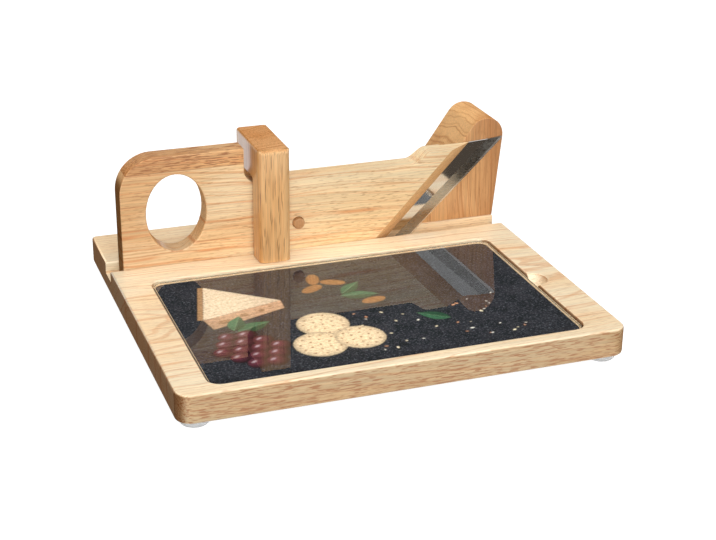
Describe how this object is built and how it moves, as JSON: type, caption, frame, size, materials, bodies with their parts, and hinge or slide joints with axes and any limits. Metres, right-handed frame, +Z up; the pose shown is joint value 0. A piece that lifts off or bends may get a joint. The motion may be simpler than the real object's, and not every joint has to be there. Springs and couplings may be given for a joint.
{
  "type": "sliding-blade slicing board",
  "caption": "Wooden slicing board: a plate with a sloping steel blade slides in a rear groove past a stop block, beside a recessed glass serving plate.",
  "frame": {"origin": "centre of the object's bounding box, on the surface that the feet stand on", "axes": "+X along the board towards the blade and stop block, +Y from the front edge to the rear edge, +Z up"},
  "size_m": [0.2851, 0.25, 0.1012],
  "materials": {
    "board_wood": "lacquered pale hardwood with fine dark pores, grain along the board's length",
    "slider_wood": "lacquered pale hardwood glued from staves, grain along the plate",
    "bridge_wood": "lacquered hardwood, upright grain with end grain on top",
    "block_wood": "lacquered darker hardwood, upright grain",
    "peg_wood": "turned hardwood peg",
    "blade_steel": "polished stainless steel with a ground bevel",
    "screw_steel": "plain countersunk steel screw",
    "clear_glass": "clear polished float glass with ground edges",
    "slate_print": null,
    "clear_bumper": "clear soft bumper"
  },
  "bodies": {
    "board": {"base_board": "board_wood", "foot_front_left": "clear_bumper", "foot_front_right": "clear_bumper", "foot_rear_left": "clear_bumper", "foot_rear_right": "clear_bumper", "guide_bridge": "bridge_wood", "bridge_screw_front": "screw_steel", "bridge_screw_rear": "screw_steel", "stop_block": "block_wood", "block_screw_left": "screw_steel", "block_screw_right": "screw_steel"},
    "slider": {"slider_plate": "slider_wood", "blade": "blade_steel", "blade_screw_lower": "screw_steel", "blade_screw_upper": "screw_steel"},
    "peg": {"lock_peg": "peg_wood"},
    "glass": {"glass_plate": "clear_glass", "print_film": "slate_print"}
  },
  "joints": [
    {"name": "slider_slide", "type": "slide", "parent": "board", "child": "slider", "axis": [1, 0, 0], "range_m": [-0.1, 0.003]},
    {"name": "peg_pull", "type": "slide", "parent": "slider", "child": "peg", "axis": [0, -1, 0], "range_m": [0, 0.012]},
    {"name": "glass_lift", "type": "slide", "parent": "board", "child": "glass", "axis": [0, 0, 1], "range_m": [0, 0.03]}
  ]
}
